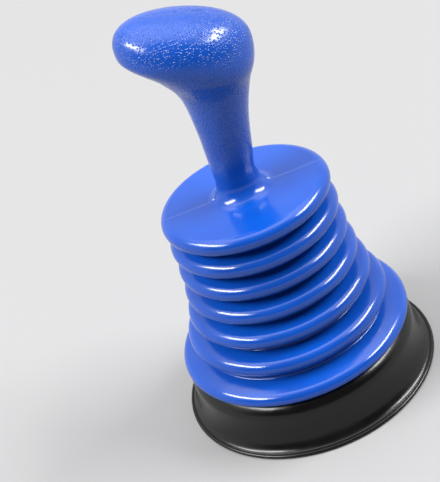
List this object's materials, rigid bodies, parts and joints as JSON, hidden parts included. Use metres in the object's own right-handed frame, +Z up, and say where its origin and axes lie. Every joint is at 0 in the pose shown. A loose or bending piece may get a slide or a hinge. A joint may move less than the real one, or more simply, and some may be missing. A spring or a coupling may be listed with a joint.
{
  "type": "sink plunger",
  "caption": "Bellows sink plunger: palm handle over a flat disc, a flared accordion body that pumps, and a rubber cup that seals on the drain.",
  "frame": {"origin": "centre of the sealing rim, on the plane the plunger stands on", "axes": "+Z up the plunger's axis towards the handle; the long end of the head points to -X"},
  "size_m": [0.14, 0.14, 0.2257],
  "materials": {
    "blue_plastic": "glossy blow-moulded polyethylene",
    "grip_plastic": "glossy with a fine pebbled texture",
    "black_rubber": "satin moulded rubber"
  },
  "bodies": {
    "rim": {"cup_rim": "black_rubber", "cup_wall": "black_rubber"},
    "base": {"cup_collar": "black_rubber", "cup_seat": "blue_plastic", "flange": "blue_plastic", "web_6": "blue_plastic"},
    "fold_5": {"fold_5": "blue_plastic", "web_5": "blue_plastic"},
    "fold_4": {"fold_4": "blue_plastic", "web_4": "blue_plastic"},
    "fold_3": {"fold_3": "blue_plastic", "web_3": "blue_plastic"},
    "fold_2": {"fold_2": "blue_plastic", "web_2": "blue_plastic"},
    "fold_1": {"fold_1": "blue_plastic", "web_1": "blue_plastic"},
    "handle": {"handle": "grip_plastic", "neck_flare": "blue_plastic", "top_disc": "blue_plastic"}
  },
  "joints": [
    {"name": "cup_flex", "type": "slide", "parent": "rim", "child": "base", "axis": [0, 0, 1], "range_m": [-0.009, 0], "stiffness_N_per_m": 6000, "deforming": ["cup_wall"]},
    {"name": "bellows", "type": "slide", "parent": "base", "child": "fold_5", "axis": [0, 0, 1], "range_m": [-0.0064, 0.0015], "stiffness_N_per_m": 9000, "deforming": ["web_6"]},
    {"name": "fold_4_slide", "type": "slide", "parent": "fold_5", "child": "fold_4", "axis": [0, 0, 1], "range_m": [-0.0064, 0.0015], "stiffness_N_per_m": 9000, "deforming": ["web_5"]},
    {"name": "fold_3_slide", "type": "slide", "parent": "fold_4", "child": "fold_3", "axis": [0, 0, 1], "range_m": [-0.0064, 0.0015], "stiffness_N_per_m": 9000, "deforming": ["web_4"]},
    {"name": "fold_2_slide", "type": "slide", "parent": "fold_3", "child": "fold_2", "axis": [0, 0, 1], "range_m": [-0.0064, 0.0015], "stiffness_N_per_m": 9000, "deforming": ["web_3"]},
    {"name": "fold_1_slide", "type": "slide", "parent": "fold_2", "child": "fold_1", "axis": [0, 0, 1], "range_m": [-0.0064, 0.0015], "stiffness_N_per_m": 9000, "deforming": ["web_2"]},
    {"name": "disc_slide", "type": "slide", "parent": "fold_1", "child": "handle", "axis": [0, 0, 1], "range_m": [-0.0064, 0.0015], "stiffness_N_per_m": 9000, "deforming": ["web_1"]}
  ],
  "couplings": [
    {"joint": "fold_4_slide", "follows": "bellows", "ratio": 1},
    {"joint": "fold_3_slide", "follows": "bellows", "ratio": 1},
    {"joint": "fold_2_slide", "follows": "bellows", "ratio": 1},
    {"joint": "fold_1_slide", "follows": "bellows", "ratio": 1},
    {"joint": "disc_slide", "follows": "bellows", "ratio": 1}
  ]
}
